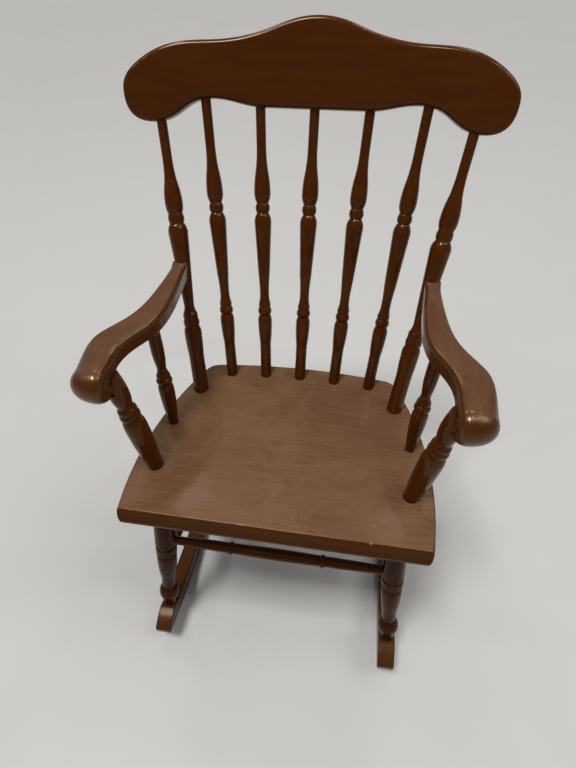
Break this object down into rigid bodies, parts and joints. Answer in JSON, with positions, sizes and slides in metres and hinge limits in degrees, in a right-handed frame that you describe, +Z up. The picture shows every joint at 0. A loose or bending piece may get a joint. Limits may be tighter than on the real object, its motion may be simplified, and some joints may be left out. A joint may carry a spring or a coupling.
{
  "type": "child's spindle-back rocking armchair",
  "caption": "Child-size spindle-back rocking armchair in dark wood: plank seat, rolled arms, scalloped crest rail and turned legs on curved rockers.",
  "frame": {"origin": "on the floor under the middle of the chair's bounding box, where the rockers rest", "axes": "+X to the right seen from in front, -Y towards the front, +Z up"},
  "size_m": [0.44, 0.48, 0.7256],
  "materials": {
    "seat_wood": "varnished, worn to a dull sheen",
    "crest_wood": "glossy dark varnish",
    "arm_wood": "glossy dark varnish",
    "turned_wood": "glossy dark varnish",
    "rocker_wood": "glossy dark varnish",
    "screw_steel": "plain zinc-coated steel"
  },
  "bodies": {
    "root": {"arm_left": "arm_wood", "arm_post_left": "turned_wood", "arm_post_right": "turned_wood", "arm_right": "arm_wood", "arm_screw_plugs": "turned_wood", "arm_screws": "screw_steel", "arm_spindle_left": "turned_wood", "arm_spindle_right": "turned_wood", "back_post_left": "turned_wood", "back_post_right": "turned_wood", "back_spindle_1": "turned_wood", "back_spindle_2": "turned_wood", "back_spindle_3": "turned_wood", "back_spindle_4": "turned_wood", "back_spindle_5": "turned_wood", "crest_rail": "crest_wood", "leg_front_left": "turned_wood", "leg_front_right": "turned_wood", "leg_rear_left": "turned_wood", "leg_rear_right": "turned_wood", "rocker_left": "rocker_wood", "rocker_right": "rocker_wood", "rocker_screws": "screw_steel", "seat": "seat_wood", "stretcher_front": "turned_wood", "stretcher_left": "turned_wood", "stretcher_rear": "turned_wood", "stretcher_right": "turned_wood"}
  },
  "joints": []
}
